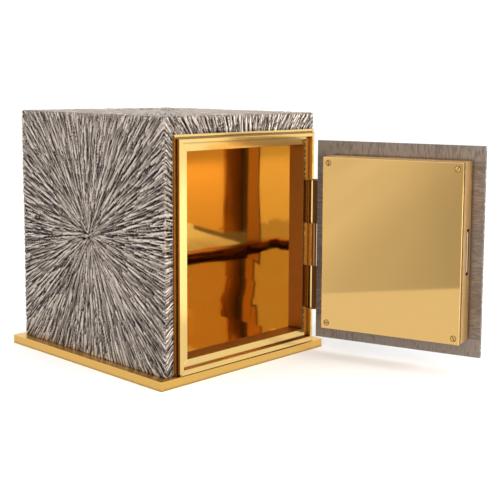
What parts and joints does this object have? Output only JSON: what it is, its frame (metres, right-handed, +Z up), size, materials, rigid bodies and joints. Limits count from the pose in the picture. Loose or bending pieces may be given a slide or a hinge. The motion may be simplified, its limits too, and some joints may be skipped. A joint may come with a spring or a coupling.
{
  "type": "tabernacle box",
  "caption": "Square cast metal tabernacle box on a brass base plate, with a stepped brass door frame, polished lining and a hinged door carrying a locking bolt.",
  "frame": {"origin": "centre of the base plate's underside", "axes": "+Z up, -Y towards the front with the doorway, +X to the right as seen from the front (the hinge side)"},
  "size_m": [0.3725, 0.5758, 0.342],
  "materials": {
    "cast_panel": "warm grey cast metal with a darkened radiating relief",
    "inner_board": "plain plywood",
    "hidden_screw": "plain steel",
    "lining": "mirror polished gold coloured sheet",
    "frame_brass": "polished gold coloured brass",
    "base_brass": "satin gold coloured brass",
    "door_plate": "warm grey metal with a fine hatched finish",
    "hinge_brass": "satin brass",
    "case_brass": "polished brass",
    "cover_brass": "polished brass",
    "screw_brass": "slotted brass",
    "bolt_steel": "brushed steel",
    "lock_steel": "plain steel",
    "lock_brass": "turned brass",
    "key_steel": "nickel plated"
  },
  "bodies": {
    "cabinet": {"base_plate": "base_brass", "front_panel": "cast_panel", "left_side_panel": "cast_panel", "right_side_panel": "cast_panel", "back_panel": "cast_panel", "top_panel": "cast_panel", "bottom_board": "inner_board", "left_board": "inner_board", "right_board": "inner_board", "top_board": "inner_board", "back_board": "inner_board", "panel_screws": "hidden_screw", "front_panel_screws": "hidden_screw", "base_screws": "hidden_screw", "lining_floor": "lining", "lining_left": "lining", "lining_right": "lining", "lining_ceiling": "lining", "lining_back": "lining", "frame_left_stile": "frame_brass", "frame_right_stile": "frame_brass", "frame_head_rail": "frame_brass", "frame_sill_rail": "frame_brass", "frame_screws": "hidden_screw", "hinge_frame_leaf": "hinge_brass", "frame_leaf_screws": "hidden_screw", "hinge_pin": "hinge_brass"},
    "door": {"door_back_plate": "door_plate", "door_face": "cast_panel", "hinge_door_leaf": "hinge_brass", "door_leaf_screws": "hidden_screw", "case_screws": "hidden_screw", "lock_case": "case_brass", "lock_cover": "cover_brass", "cover_screws": "screw_brass", "bolt_guides": "lock_steel", "lock_barrel": "lock_brass", "escutcheon": "lock_brass", "escutcheon_screws": "screw_brass"},
    "lock": {"lock_plug": "lock_brass", "lock_crank": "lock_steel", "key": "key_steel"},
    "bolt": {"bolt": "bolt_steel"}
  },
  "joints": [
    {"name": "door_hinge", "type": "hinge", "parent": "cabinet", "child": "door", "pos_m": [0.1324, -0.16855, 0.1534], "axis": [0, 0, 1], "range_deg": [-106, 64]},
    {"name": "lock_turn", "type": "hinge", "parent": "door", "child": "lock", "pos_m": [0.1696, -0.34056, 0.1647], "axis": [0.9613, 0.2756, 0], "range_deg": [0, 180]},
    {"name": "bolt_slide", "type": "slide", "parent": "door", "child": "bolt", "axis": [0.2756, -0.9613, 0], "range_m": [0, 0.01352]}
  ],
  "couplings": [
    {"joint": "bolt_slide", "follows": "lock_turn", "m_per_rad": 0.0042972}
  ]
}
